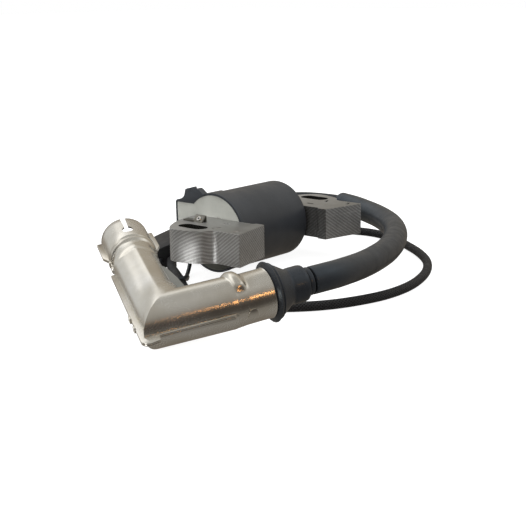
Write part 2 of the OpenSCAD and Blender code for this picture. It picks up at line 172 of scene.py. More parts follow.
# Shear marks lie aslant on the sheets' edges, one for every 1.45 mm of the stack. In radians per metre.
SHEAR_WAVES = (3683, 3250, 4333)


def lamination():
    """Punched sheet steel with slanted shear marks on the sheets' edges, a mottled oxide bloom, and painted
    shade in the slots, the dents and beside the drum.
    """
    f = Finish("lamination_steel", Metallic=0.7, Specular_IOR_Level=0.4)
    place = f.place()
    x, y, z = f.node("SeparateXYZ", {0: place}).outputs
    facing_x, _, facing_z = f.node("SeparateXYZ", {0: f.node("NewGeometry").outputs["True Normal"]}).outputs
    side = f.span(f.math("ABSOLUTE", facing_z), 0.3, 0.7, 1.0, 0.0)
    drift = f.math("MULTIPLY", f.noise(60, 2), 1.6)
    slant = f.node("VectorMath", {0: place, 1: SHEAR_WAVES}, operation="DOT_PRODUCT").outputs["Value"]
    shear = f.span(f.math("SINE", f.math("ADD", slant, drift)), -1, 1, 0, 1)
    marks = f.math("MULTIPLY", f.math("MULTIPLY_ADD", shear, 0.33, 0.29), side)

    # Painted shade: the slots' walls, the dents' floors and the rear foot's face beside the drum are
    # coloured dark.
    off = f.math("ABSOLUTE", f.math("SUBTRACT", f.math("ABSOLUTE", x), SLOT_X * MM))
    across = f.math("LESS_THAN", off, (SLOT_R + 0.07) * MM)
    along = f.math("LESS_THAN", f.math("ABSOLUTE", y), (SLOT_HALF + SLOT_R + 0.2) * MM)
    slot_wall = f.math("MULTIPLY", f.math("MULTIPLY", across, along), side)
    sunk = f.math("LESS_THAN", z, (CORE_T - 0.25) * MM)
    dent = f.math("MULTIPLY", sunk, f.math("GREATER_THAN", facing_z, 0.2))
    beside = f.math("MULTIPLY", f.math("LESS_THAN", facing_x, -0.4), f.math("GREATER_THAN", x, 0.015))
    painted_shade = f.math("MAXIMUM", f.math("MAXIMUM", slot_wall, dent), f.math("MULTIPLY", beside, 0.72))

    stain = f.noise(110, 6, 0.6)
    top = f.math("MULTIPLY", f.span(y, -0.022, 0.010, 0.0, 0.30), f.math("SUBTRACT", 1.0, side))
    shade = f.math("MULTIPLY_ADD", stain, 0.42, f.math("ADD", marks, top))
    steel = f.colours(shade, (0.15, (0.18, 0.178, 0.164)), (0.35, (0.275, 0.273, 0.26)),
                      (0.62, (0.40, 0.398, 0.388)), (1.0, (0.70, 0.70, 0.69)))
    # The painted shade colours the masked faces near black.
    f.set("Base Color", f.blend(painted_shade, steel, (0.022, 0.021, 0.018, 1)))
    mill = f.noise(1, 4, 0.65, f.place((220, 2600, 220)))
    wear = f.math("MULTIPLY_ADD", mill, 0.6, f.math("MULTIPLY", stain, 0.4))
    f.set("Roughness", f.span(wear, 0.35, 0.65, 0.3, 0.5))
    under = f.bump(mill, 0.00002, 0.5)
    f.bump(marks, 0.00004, 0.5, under)
    return f.material


def resin():
    """Cast resin with fine pits, with painted shade below the core, where little light comes in."""
    f = Finish("epoxy", Specular_IOR_Level=0.45, Coat_Weight=0.15, Coat_Roughness=0.25)
    cloud = f.noise(90, 5, 0.55)
    pits = f.node("TexVoronoi", {"Vector": f.place(), "Scale": 420.0}).outputs["Distance"]
    resin_tone = f.colours(cloud, (0.28, (0.38, 0.385, 0.35)), (0.5, (0.46, 0.47, 0.43)),
                      (0.75, (0.53, 0.535, 0.49)))
    # Painted shade: the resin's colour darkens towards its bottom, below the core.
    low = f.span(f.node("SeparateXYZ", {0: f.place()}).outputs[2], -0.0035, 0.0005, 0.85, 0.0)
    f.set("Base Color", f.blend(low, resin_tone, (0.06, 0.06, 0.046, 1)))
    f.set("Roughness", f.span(cloud, 0.3, 0.7, 0.3, 0.46))
    under = f.bump(f.span(pits, 0.0, 0.16, 0.0, 1.0), 0.00005, 0.5)
    f.bump(f.noise(260, 3), 0.00008, 0.4, under)
    return f.material


def rubber(name, colour, rough, **sockets):
    """Moulded rubber with a faint bloom. Its sheen is slightly blue."""
    f = Finish(name, **{"Specular_IOR_Level": 0.6, "Specular_Tint": (0.72, 0.88, 1.0, 1), **sockets})
    bloom = f.noise(70, 6, 0.6)
    f.set("Base Color", f.colours(bloom, (0.3, tone(colour, 0.8)), (0.55, colour), (0.8, tone(colour, 1.5))))
    f.set("Roughness", f.span(f.noise(240, 5, 0.6), 0.3, 0.7, rough - 0.08, rough + 0.08))
    under = f.bump(f.noise(1400, 3, 0.6), 0.000015, 0.45)
    f.bump(f.noise(200, 2), 0.00005, 0.35, under)
    return f.material


def shield_finish():
    """Pressed nickel plate: warm patina, smudges and fine scratches along and across the arms."""
    f = Finish("shield_nickel", Metallic=1.0)
    around = f.place((2.2, 0.10, 1), "UV")
    scratch = f.noise(9, 5, 0.7, around)
    across = f.noise(5, 4, 0.7, f.place((0.12, 2.6, 1), "UV"))
    smudge = f.noise(75, 6, 0.62)
    warm = f.noise(38, 3, 0.5)
    patina = f.math("MULTIPLY_ADD", warm, 0.6, f.math("MULTIPLY", smudge, 0.4))
    f.set("Base Color", f.colours(patina, (0.34, (0.66, 0.612, 0.525)), (0.52, (0.76, 0.73, 0.66)),
                                  (0.68, (0.82, 0.80, 0.755))))
    streaks = f.math("MULTIPLY_ADD", scratch, 0.55, f.math("MULTIPLY", smudge, 0.45))
    f.set("Roughness", f.span(streaks, 0.36, 0.66, 0.13, 0.34))
    under = f.bump(scratch, 0.000012, 0.6)
    f.bump(across, 0.000008, 0.4, f.bump(f.noise(55, 2, 0.4), 0.0002, 0.22, under))
    return f.material


def braid():
    """Fine crossed strands, drawn along the lead's own length and round it."""
    f = Finish("kill_braid", Specular_IOR_Level=0.22)
    uv = f.node("SeparateXYZ", {0: f.place((1, 1, 1), "UV")})
    strands_round, strands_along = 10.0, 9.0
    strands = []
    for sign in (1, -1):
        along = f.math("MULTIPLY", uv.outputs[1], strands_along)
        turn = f.math("MULTIPLY_ADD", uv.outputs[0], strands_round * sign, along)
        strands.append(f.math("SINE", f.math("MULTIPLY", turn, 2 * math.pi)))
    height = f.math("MAXIMUM", strands[0], strands[1])
    f.set("Base Color", f.colours(f.span(height, -1, 1, 0, 1), (0.2, (0.003, 0.003, 0.0035)),
                                  (0.95, (0.026, 0.0262, 0.0275))))
    f.set("Roughness", f.span(f.noise(500, 3), 0.3, 0.7, 0.42, 0.62))
    f.bump(height, 0.00012, 0.8)
    return f.material


def winding():
    """Enamelled copper wire, turn beside turn."""
    f = Finish("copper_enamel", Metallic=0.9, Coat_Weight=0.4, Coat_Roughness=0.15)
    keys = {"Vector": f.place(), "Scale": 900.0, "Distortion": 0.3}
    turns = f.node("TexWave", keys, bands_direction="X").outputs["Fac"]
    f.set("Base Color", f.colours(turns, (0.2, (0.22, 0.07, 0.02)), (0.8, (0.62, 0.27, 0.10))))
    f.set("Roughness", f.span(f.noise(300, 3), 0.3, 0.7, 0.25, 0.4))
    f.bump(turns, 0.0001, 0.8)
    return f.material


def board():
    """Green laminate with a woven grain."""
    f = Finish("board_laminate", Coat_Weight=0.5, Coat_Roughness=0.2)
    weave = f.node("TexChecker", {"Vector": f.place(), "Scale": 2200.0}).outputs["Fac"]
    f.set("Base Color", f.colours(f.noise(180, 5), (0.35, (0.018, 0.11, 0.045)),
                                  (0.65, (0.035, 0.19, 0.08))))
    f.set("Roughness", f.span(weave, 0, 1, 0.35, 0.45))
    f.bump(weave, 0.00001, 0.4)
    return f.material


FINISH = {
    "lamination_steel": lamination(),
    "case_plastic": plastic("case_plastic", (0.028, 0.031, 0.036), 0.40, Specular_IOR_Level=0.5,
                            Specular_Tint=(0.92, 0.97, 1, 1)),
    "epoxy": resin(),
    "tab_steel": metal("tab_steel", (0.21, 0.20, 0.175), 0.34),
    "rivet_steel": metal("rivet_steel", (0.72, 0.71, 0.67), 0.24),
    "lead_rubber": rubber("lead_rubber", (0.018, 0.019, 0.021), 0.38, Specular_IOR_Level=0.3),
    "sleeve_rubber": rubber("sleeve_rubber", (0.022, 0.0245, 0.0285), 0.36, Specular_IOR_Level=0.45),
    "boot_rubber": rubber("boot_rubber", (0.022, 0.0235, 0.027), 0.31, Specular_IOR_Level=0.42),
    "shield_nickel": shield_finish(),
    "kill_braid": braid(),
    "ground_pvc": rubber("ground_pvc", (0.014, 0.014, 0.015), 0.3),
    "housing_plastic": plastic("housing_plastic", (0.009, 0.0092, 0.0098), 0.5, Specular_IOR_Level=0.28),
    "bobbin_plastic": plastic("bobbin_plastic", (0.62, 0.57, 0.46), 0.45, Subsurface_Weight=0.05),
    "copper_enamel": winding(),
    "contact_brass": metal("contact_brass", (0.72, 0.55, 0.24), 0.28),
    "board_laminate": board(),
    "chip_plastic": plastic("chip_plastic", (0.03, 0.03, 0.033), 0.5),
    "phenolic": plastic("phenolic", (0.13, 0.133, 0.12), 0.46),
    "ceramic_body": plastic("ceramic_body", (0.52, 0.47, 0.38), 0.3),
    "spring_steel": metal("spring_steel", (0.55, 0.55, 0.55), 0.3),
}


# ---------------------------------------------------------------- mesh helpers
def put_uvs(mesh, uvs):
    """Gives each corner of the mesh the place on the texture of its vertex."""
    layer = mesh.uv_layers.new(name="UVMap")
    for loop in mesh.loops:
        layer.data[loop.index].uv = uvs[loop.vertex_index]


def shade_smooth(mesh, sharp):
    """Smooth shading, except at edges that turn by more than sharp degrees."""
    for polygon in mesh.polygons:
        polygon.use_smooth = True
    mesh.set_sharp_from_angle(angle=math.radians(sharp))


def made(name, verts, faces, slot, body, nodes=(), sharp=32, uvs=None, at=None):
    """A mesh piece from points in millimetres. at places points drawn in another frame."""
    mesh = bpy.data.meshes.new(name)
    points = [(at @ Vector(v)) if at is not None else Vector(v) for v in verts]
    mesh.from_pydata([p * MM for p in points], [], faces)
    mesh.validate()
    if uvs is not None:
        put_uvs(mesh, uvs)
    return piece(name, mesh, slot, body, nodes, sharp)


def piece(name, mesh, slot, body, nodes=(), sharp=32):
    """A scene object that rides on a body and stands for CAD nodes."""
    tidy_normals(mesh, sharp)
    mesh.materials.clear()
    mesh.materials.append(FINISH[slot])
    obj = bpy.data.objects.new(name, mesh)
    scene.collection.objects.link(obj)
    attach(obj, body)
    if nodes:
        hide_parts(*nodes)
    return obj


def tidy_normals(mesh, sharp):
    bm = bmesh.new()
    bm.from_mesh(mesh)
    bmesh.ops.recalc_face_normals(bm, faces=bm.faces)
    bm.to_mesh(mesh)
    bm.free()
    shade_smooth(mesh, sharp)


def settle(obj, sharp=32):
    """Applies the object's modifiers to its mesh."""
    graph = bpy.context.evaluated_depsgraph_get()
    mesh = bpy.data.meshes.new_from_object(obj.evaluated_get(graph), depsgraph=graph)
    obj.modifiers.clear()
    obj.data = mesh
    shade_smooth(mesh, sharp)
    return obj


def round_edges(obj, width, angle=34):
    """Rounds the edges that turn by more than angle degrees."""
    bevel = obj.modifiers.new("edges", "BEVEL")
    bevel.width = width * MM
    bevel.segments = 2
    bevel.limit_method = "ANGLE"
    bevel.angle_limit = math.radians(angle)
    bevel.use_clamp_overlap = True
    bevel.miter_outer = "MITER_ARC"
    return settle(obj)


def eased(node, slot, body, width):
    """The CAD solid with its flat faces made whole and its edges rounded."""
    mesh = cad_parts[node].data.copy()
    for layer in list(mesh.uv_layers):
        mesh.uv_layers.remove(layer)
    bm = bmesh.new()
    bm.from_mesh(mesh)
    bmesh.ops.remove_doubles(bm, verts=bm.verts, dist=2e-6)
    bmesh.ops.dissolve_limit(bm, angle_limit=math.radians(0.6), verts=bm.verts, edges=bm.edges)
    bm.to_mesh(mesh)
    bm.free()
    if mesh.has_custom_normals:
        mesh.normals_split_custom_set([(0, 0, 0)] * len(mesh.loops))
    obj = piece(node + "_piece", mesh, slot, body, (node,))
    return round_edges(obj, width)


def arc(centre, radius, first, step, count):
    """Points on a circle or an ellipse, step degrees apart. radius is one number or one for each axis."""
    wide, high = radius if isinstance(radius, tuple) else (radius, radius)
    turns = [math.radians(first + step * k) for k in range(count)]
    return [(centre[0] + wide * math.cos(a), centre[1] + high * math.sin(a)) for a in turns]


def band(first, second, count):
    """The faces between two closed rings of count points, which start at these vertices."""
    return [(first + k, first + (k + 1) % count, second + (k + 1) % count, second + k) for k in range(count)]


def corners(points):
    """Each point of a closed outline, together with the points before and after it."""
    count = len(points)
    for i in range(count):
        yield tuple(Vector(points[(i + k) % count]) for k in (-1, 0, 1))


def lathe(name, profile, slot, body, at, nodes=(), steps=72, sharp=32):
    """A body of revolution. profile is (radius, distance along the axis), a closed loop."""
    verts, faces, count = [], [], len(profile)
    for i in range(steps):
        a = 2 * math.pi * i / steps
        verts += [(t, r * math.cos(a), r * math.sin(a)) for r, t in profile]
        faces += band(i * count, (i + 1) % steps * count, count)
    return made(name, verts, faces, slot, body, nodes, sharp, at=at)


def soften(profile, radius, steps=4):
    """Rounds each corner of a closed profile."""
    out = []
    for before, here, after in corners(profile):
        a, b = before - here, after - here
        reach = min(radius, a.length * 0.45, b.length * 0.45)
        start, end = here + a.normalized() * reach, here + b.normalized() * reach
        for k in range(steps + 1):
            t = k / steps
            out.append(tuple(start * (1 - t) ** 2 + here * 2 * t * (1 - t) + end * t * t))
    return out


def extruded(outline, low, high):
    """The vertices and faces of a flat outline given thickness along its third axis."""
    count = len(outline)
    verts = [(x, y, low) for x, y in outline] + [(x, y, high) for x, y in outline]
    ends = [tuple(range(count))[::-1], tuple(range(count, 2 * count))]
    return verts, ends + band(0, count, count)


def prism(name, outline, low, high, slot, body, at, width):
    """A flat plate with rounded edges, drawn in the frame at."""
    obj = made(name, *extruded(outline, low, high), slot, body, at=at)
    return round_edges(obj, width, 25)


def joined(first, *others):
    """One piece of several meshes."""
    bm = bmesh.new()
    for obj in (first, *others):
        bm.from_mesh(obj.data)
    bm.to_mesh(first.data)
    bm.free()
    for obj in others:
        bpy.data.objects.remove(obj)
    for polygon in first.data.polygons:
        polygon.use_smooth = True
    return first


def turned(x, y, z):
    """A turn about x, then y, then z, in degrees."""
    turns = [Matrix.Rotation(math.radians(a), 4, axis) for a, axis in ((z, "Z"), (y, "Y"), (x, "X"))]
    return turns[0] @ turns[1] @ turns[2]


# The cap's frame: x runs from the elbow towards the lead and y towards the plug. BEND is the boot's frame,
# with x along the lead, and CAP_Y has the plug's axis as its x.
CAP = Matrix.Translation((-105.7, -50, -0.9)) @ turned(11.5, -8.6, -33)
BEND = CAP @ Matrix.Translation((24, 0, 0)) @ turned(0, 3, 8.5)
CAP_Y = CAP @ Matrix(((0, 1, 0, 0), (1, 0, 0, 0), (0, 0, -1, 0), (0, 0, 0, 1)))


def boot_axis(t):
    return tuple(BEND @ Vector((t, 0, 0)))


# ---------------------------------------------------------------- leads
def between(first, second, start, end, now):
    """The point at time now on the way from first, at time start, to second, at time end."""
    return (first * (end - now) + second * (now - start)) / (end - start)


def smooth_route(points, step=1.0):
    """A smooth line through the points, with one point about every step millimetres, and its length."""
    p = [Vector(v) for v in points]
    p = [p[0] * 2 - p[1], *p, p[-1] * 2 - p[-2]]
    line = []
    for i in range(1, len(p) - 2):
        t = [0.0]
        for a, b in zip(p[i - 1:i + 2], p[i:i + 3]):
            t.append(t[-1] + max((b - a).length, 1e-6) ** 0.5)
        for k in range(24):
            s = t[1] + (t[2] - t[1]) * k / 24
            a = [between(p[i - 1 + j], p[i + j], t[j], t[j + 1], s) for j in range(3)]
            b = [between(a[j], a[j + 1], t[j], t[j + 2], s) for j in range(2)]
            line.append(between(b[0], b[1], t[1], t[2], s))
    line.append(p[-2])
    run = [0.0]
    for a, b in zip(line, line[1:]):
        run.append(run[-1] + (b - a).length)
    count, out, j = max(2, round(run[-1] / step)), [], 0
    for i in range(count + 1):
        want = run[-1] * i / count
        while j < len(line) - 2 and run[j + 1] < want:
            j += 1
        out.append(line[j].lerp(line[j + 1], (want - run[j]) / max(run[j + 1] - run[j], 1e-9)))
    return out, run[-1]


def tube(name, path, radius, slot, nodes, sides=24, inner=None, rounding=0.4):
    """A round lead along a path, with rounded ends. With inner it is a hollow sleeve."""
    last = len(path) - 1
    heads = [(path[min(i + 1, last)] - path[max(i - 1, 0)]).normalized() for i in range(len(path))]
    side = heads[0].cross(Vector((0, 0, 1))).normalized()
    frames, run = [], 0.0
    for i, (point, head) in enumerate(zip(path, heads)):
        side = (side - head * side.dot(head)).normalized()
        run += (point - path[i - 1]).length if i else 0.0
        frames.append((point, head, side, head.cross(side), run))

    # A ring is a point of the path, a radius and a shift along the path.
    part = rounding * 0.3
    start = [(0, radius - rounding, 0.0), (0, radius - part, part), (0, radius, rounding)]
    stop = [(last, r, -shift) for _, r, shift in start[::-1]]
    rings = start + [(i, radius, 0.0) for i in range(1, last)] + stop
    if inner is not None:
        rings += [(i, inner, 0.0) for i in range(last, -1, -1)]
    verts, uvs = [], []
    for i, r, shift in rings:
        point, head, a, b, along = frames[i]
        for k in range(sides + 1):
            turn = 2 * math.pi * k / sides
            verts.append(point + head * shift + (a * math.cos(turn) + b * math.sin(turn)) * r)
            uvs.append((k / sides, (along + shift) / (2 * math.pi * radius)))

    faces, width, count = [], sides + 1, len(rings)
    pairs = list(zip(range(count), range(1, count)))
    if inner is not None:
        pairs.append((count - 1, 0))
    for a, b in pairs:
        faces += [(a * width + k, a * width + k + 1, b * width + k + 1, b * width + k) for k in range(sides)]
    if inner is None:
        faces.append(tuple(range(sides))[::-1])
        faces.append(tuple((count - 1) * width + k for k in range(sides)))
    mesh = bpy.data.meshes.new(name)
    mesh.from_pydata([v * MM for v in verts], [], faces)
    put_uvs(mesh, uvs)
    bm = bmesh.new()
    bm.from_mesh(mesh)
    bmesh.ops.remove_doubles(bm, verts=bm.verts, dist=1e-7)
    bm.to_mesh(mesh)
    bm.free()
    return piece(name, mesh, slot, "coil", nodes, 50)


lead_free = [
    (8, 30, 8), (25, 30, 8), (35, 30.8, 8), (44.5, 29.6, 8), (52.5, 25.4, 8), (58.8, 18.5, 7.9),
    (62.6, 10, 7.5)]
sleeve_free = [
    (64, 2.5, 7.1), (62.6, -6, 6.6), (59.4, -15, 6.1), (54.2, -26, 5.5), (46, -37.6, 5), (34.8, -48, 4.7),
    (20, -57.5, 4.5), (3, -65.4, 4.6), (-15, -71.4, 5.2), (-26, -74.2, 5.7), (-35, -76.1, 6.3),
    (-42.2, -77.3, 6.8), (-47.6, -77.7, 7), (-53, -77.1, 7)]
kill_route = [
    (20, 15, -3.6), (26, 15, -3.6), (33, 17, -5), (41, 21, -7.5), (50, 23.6, -8.35), (60, 21.5, -8.35),
    (68.5, 14, -8.35), (74, 4, -8.35), (76, -6, -8.35), (74.3, -16, -8.35), (70, -25.5, -8.35),
    (63, -36, -8.35), (54, -48, -8.35), (43, -59, -8.35), (30, -67.5, -8.35), (16, -73.3, -8.35),
    (1.5, -76.5, -8.35), (-13, -76.4, -8.35), (-26, -73, -8.35), (-38, -67.3, -8.35), (-48, -59, -8.35),
    (-56, -48.5, -8.35), (-61, -37, -8.35), (-62, -25.5, -8.35), (-58.5, -14.5, -8.35), (-52, -5.5, -8.35),
    (-45, 3.5, -8.35), (-38.5, 12.5, -8.35), (-32.6, 20.9, -8), (-26.9, 26.8, -7)]
ground_route = [
    (-21.2, 19, -3.2), (-24.5, 17.6, -4), (-28.4, 13.9, -6.3), (-32.6, 11, -8.7), (-37.3, 7.4, -9.3),
    (-42, 2.6, -8.6), (-46.2, -2, -6), (-50.5, -4.6, -5.2), (-54.5, -3.2, -5.6), (-55.8, 1, -7.4),
    (-53, 6.6, -9.2), (-47, 14, -9.3), (-40.4, 21.6, -9.2), (-35, 26.2, -8), (-30.1, 29.7, -6.6)]
SLEEVE_END = 30.2  # on the boot's axis
lead_end = [boot_axis(t) for t in (SLEEVE_END, 20, 0, -14)]
lead_path, lead_length = smooth_route(lead_free + sleeve_free + lead_end)
sleeve_path, sleeve_length = smooth_route(sleeve_free + [boot_axis(SLEEVE_END)])
kill_path, kill_length = smooth_route(kill_route, 0.8)
ground_path, ground_length = smooth_route(ground_route, 0.6)

hv_lead = tube("hv_lead_jacket", lead_path, 3.5, "lead_rubber", ("hv_lead",), 32)
hv_sleeve = tube("hv_sleeve_hose", sleeve_path, 5.1, "sleeve_rubber", ("hv_sleeve",), 40, inner=3.8)
kill_lead = tube("kill_lead_braid", kill_path, 1.9, "kill_braid", ("kill_lead",), 24, rounding=0.2)
ground_wire = tube("ground_wire_jacket", ground_path, 0.85, "ground_pvc", ("ground_wire",), 16,
                   rounding=0.15)

seal_profile = soften([(3.6, 27.9), (5.1, 27.9), (5.1, 29.8), (3.6, 29.8)], 0.6)
lead_seal = lathe("lead_seal_ring", seal_profile, "boot_rubber", "coil", BEND, ("lead_seal",))
housing = eased("connector_housing", "housing_plastic", "coil", 0.3)


# ---------------------------------------------------------------- core
def curve(a, b, c, d):
    """A Bezier curve from a to d in 14 steps, without its first point."""
    return [tuple(p)[:2] for p in interpolate_bezier(*((*v, 0) for v in (a, b, c, d)), 15)[1:]]


def foot_outline(leg):
    """One foot with the leg beyond it, or with a notch for the leg's end, drawn for +X."""
    inner, toe, shoulder = 21.7, (40.8, -14.5), (44.8, -9.3)
    crown, heel, back = (48.4, 2), (41.6, 10.6), (21.7, 15.8)
    points = [(inner, -16.2), (20.4, -17.2), (20.4, -21.4), (40.8, -25.9), toe]
    points += curve(toe, (toe[0], toe[1] + 3), (shoulder[0] - 2, shoulder[1] - 1.4), shoulder)
    points += curve(shoulder, (shoulder[0] + 1.6, shoulder[1] + 2), (crown[0] - 0.3, crown[1] - 4), crown)
    points += curve(crown, (crown[0] + 0.3, crown[1] + 4.6), (heel[0] + 3.4, heel[1] - 2.2), heel)
    points += curve(heel, (heel[0] - 5.6, heel[1] + 3.4), (back[0] + 8, back[1]), back)
    return points + [(inner, LEG_HIGH), (leg, LEG_HIGH), (leg, LEG_LOW), (inner, LEG_LOW)]


def cornered(points, cut):
    """Cuts each corner that isn't nearly straight."""
    out, nearly_straight = [], math.radians(152)
    for before, here, after in corners(points):
        a, b = before - here, after - here
        if a.angle(b) > nearly_straight:
            out.append(tuple(here))
        else:
            reach = min(cut, a.length * 0.4, b.length * 0.4)
            out += [tuple(here + a.normalized() * reach), tuple(here + b.normalized() * reach)]
    return out


def outward(points):
    """Unit steps away from a loop that runs anticlockwise, one for each point."""
    steps = []
    for before, here, after in corners(points):
        a, b = (here - before).normalized(), (after - here).normalized()
        n = Vector((a.y + b.y, -a.x - b.x)).normalized()
        steps.append(n / max(0.5, n.dot(Vector((a.y, -a.x)))))
    return steps


def anticlockwise(points):
    area = sum(a[0] * b[1] - b[0] * a[1] for a, b in zip(points, points[1:] + points[:1]))
    return points if area > 0 else points[::-1]


SHEETS = 27
UNEVEN = 0.03  # how far back a sheet's edge may lie
GROOVE = 0.05  # depth and half width of the grooves between the sheets
BURR = (0.12, 0.07)  # the rounding of the stack's top and bottom edges: how far in, and how high


def laminated(node, outline, slot_centre, dents, seed):
    """A stack of punched sheets: each sheet's edge shows, and the faces are cut through by the slot."""
    draw = random.Random(seed)
    pitch = CORE_T / SHEETS
    outline = cornered(anticlockwise(outline), 0.22)
    hole = arc((slot_centre, SLOT_HALF), SLOT_R, 0, 9, 21)
    hole += arc((slot_centre, -SLOT_HALF), SLOT_R, 180, 9, 21)
    verts, faces = [], []

    def wall(loop, side):
        """The sheets' edges round a loop, and its lowest and highest rings. side is -1 in a hole."""
        steps, count, rows = outward(loop), len(loop), []
        for i in range(SHEETS):
            proud = -draw.random() * UNEVEN
            low, high = i * pitch, (i + 1) * pitch
            start = low + (GROOVE if i else BURR[1])
            end = high - (GROOVE if i < SHEETS - 1 else BURR[1])
            rows += [(low, proud - (GROOVE if i else BURR[0])), (start, proud), (end, proud)]
        rows.append((CORE_T, -BURR[0]))
        first = len(verts)
        for z, off in rows:
            verts.extend((x + n.x * off * side, y + n.y * off * side, z) for (x, y), n in zip(loop, steps))
        for r in range(len(rows) - 1):
            faces.extend(band(first + r * count, first + (r + 1) * count, count))
        top = first + (len(rows) - 1) * count
        return list(range(first, first + count)), list(range(top, top + count))

    bottom_rim, top_rim = wall(outline, 1)
    bottom_hole, top_hole = wall(hole, -1)
    cuts = []
    for x, y, turn in dents:
        a = math.radians(turn)
        along, aside = Vector((math.cos(a), math.sin(a))), Vector((-math.sin(a), math.cos(a)))
        first = len(verts)
        for grow_u, grow_v, z in ((1, 1, CORE_T), (0.72, 0.8, CORE_T - 0.7)):
            for u, v in ((-2, -0.6), (2, -0.6), (2, 0.6), (-2, 0.6)):
                verts.append((*(Vector((x, y)) + along * u * grow_u + aside * v * grow_v), z))
        faces.extend(band(first, first + 4, 4))
        faces.append(tuple(range(first + 4, first + 8)))
        cuts.append(list(range(first, first + 4)))
    for loops in ([bottom_rim, bottom_hole], [top_rim, top_hole, *cuts]):
        flat = [i for loop in loops for i in loop]
        for triangle in tessellate_polygon([[Vector(verts[i]) for i in loop] for loop in loops]):
            faces.append(tuple(flat[i] for i in triangle))
    return made(node + "_piece", verts, faces, "lamination_steel", "coil", (node,), 24)


DENTS = [(SLOT_X - 3.6, -9.8, 25), (SLOT_X - 12.4, -7.2, 90), (SLOT_X - 2.8, -21.1, 20)]
laminated("rear_lamination_stack", foot_outline(LEG_END), SLOT_X, DENTS, 7)
mirrored = [(-x, y) for x, y in foot_outline(-LEG_END)]
laminated("front_lamination_stack", mirrored, -SLOT_X, [(-x, y, -turn) for x, y, turn in DENTS], 3)


# ---------------------------------------------------------------- case, resin and tab
eased("coil_case", "case_plastic", "coil", 0.22)


def in_chamber(y, z):
    return CHAMBER_Y[0] < y < CHAMBER_Y[1] and CHAMBER_Z[0] < z < CHAMBER_Z[1]


def in_resin(y, z):
    """Inside the drum or the side chamber, and not in the core's leg."""
    in_drum = math.hypot(y - AXIS_Y, z - AXIS_Z) < RESIN_R
    in_leg = LEG_LOW < y < LEG_HIGH and 0 < z < CORE_T
    return (in_drum or in_chamber(y, z)) and not in_leg


def resin_outline():
    """Round the drum's wall from the chamber's roof to its floor, then the chamber's two far corners."""
    drum = [p for p in arc((AXIS_Y, AXIS_Z), RESIN_R, 0, 4, 90) if not in_chamber(*p)]
    roof = CHAMBER_Z[1]
    start = min((p for p in drum if p[1] > AXIS_Z), key=lambda p: abs(p[1] - roof) + 9 * (p[0] < AXIS_Y))
    turn = drum.index(start)
    rounding = 0.4
    far, low, high = CHAMBER_Y[1] - rounding, CHAMBER_Z[0] + rounding, roof - rounding
    loop = drum[turn:] + drum[:turn]
    return loop + arc((far, low), rounding, -90, 22.5, 5) + arc((far, high), rounding, 0, 22.5, 5)


def resin_height(y, z):
    """How far the face stands out: it creeps up the walls a little and is faintly dished in one place."""
    wall = RESIN_R - math.hypot(y - AXIS_Y, z - AXIS_Z)
    if y >= CHAMBER_Y[0] and CHAMBER_Z[0] < z < CHAMBER_Z[1]:
        wall = max(wall, min(CHAMBER_Y[1] - y, z - CHAMBER_Z[0], CHAMBER_Z[1] - z))
    leg = max(LEG_LOW - y, y - LEG_HIGH, -z, z - CORE_T)
    creep = 0.2 * math.exp(-max(wall, 0) / 0.6) + 0.16 * math.exp(-max(leg, 0) / 0.8)
    wave = 0.05 * noise.noise(Vector((y * 0.35, z * 0.35, 1.7)))
    dish = -0.12 / (1 + math.exp((math.hypot(y - 18.5, z - 9.5) - 4.6) * 5))
    return creep + wave + dish


def resin_piece():
    """Cast resin that closes the case's open front, round the leg."""
    loop = resin_outline()
    hole = [(LEG_LOW, 0), (LEG_HIGH, 0), (LEG_HIGH, CORE_T), (LEG_LOW, CORE_T)]
    cell = 0.75
    grid = [(i * cell + 0.11, j * cell + 0.07) for i in range(-16, 40) for j in range(-16, 36)]
    points = [Vector(p) for p in loop + hole + [p for p in grid if in_resin(*p)]]
    n = len(loop)
    edges = [(k, (k + 1) % n) for k in range(n)] + [(n + k, n + (k + 1) % 4) for k in range(4)]
    flat, _, triangles, *_ = delaunay_2d_cdt(points, edges, [], 0, 1e-5)
    keep = [tuple(t) for t in triangles if in_resin(*(sum(flat[i][k] for i in t) / len(t) for k in (0, 1)))]
    front = [(RESIN_FACE - resin_height(*p), *p) for p in flat]
    back = [(RESIN_BACK, *p) for p in flat]
    count = len(flat)
    faces = keep + [tuple(i + count for i in t[::-1]) for t in keep]
    ways = {(a, b) for t in keep for a, b in zip(t, t[1:] + t[:1])}
    faces += [(a, b, b + count, a + count) for a, b in ways if (b, a) not in ways]
    return made("epoxy_fill_piece", front + back, faces, "epoxy", "coil", ("epoxy_fill",), 40)


resin_piece()
eased("ground_tab", "tab_steel", "coil", 0.1)
EYELET = Matrix.Translation((-33.2 + 1.3, 4.4, CORE_T + 1.3)) @ turned(0, -45, 0) @ turned(0, -90, 0)
rivet_profile = [(0.5, -0.6), (0.8, -0.6), (0.8, 0), (1.15, 0), (0.95, 0.35), (0.5, 0.35)]
lathe("ground_rivet_piece", soften(rivet_profile, 0.12), "rivet_steel", "coil", EYELET,
      ("ground_rivet",), 40)
tower_profile = [(3.5, 8), (4.8, 8), (4.8, 23), (6, 23), (6, 24.6), (3.9, 24.6), (3.5, 24)]
lathe("hv_tower_grommet_piece", soften(tower_profile, 0.45), "boot_rubber", "coil",
      Matrix.Translation((0, 30, 8)), ("hv_tower_grommet",))
bush_profile = [(1.9, 20), (2.3, 20), (2.3, 21.5), (2.8, 21.5), (2.8, 23.5), (1.9, 23.5)]
lathe("kill_wire_grommet_piece", soften(bush_profile, 0.35), "boot_rubber", "coil",
      Matrix.Translation((0, 15, -3.6)), ("kill_wire_grommet",), 48)


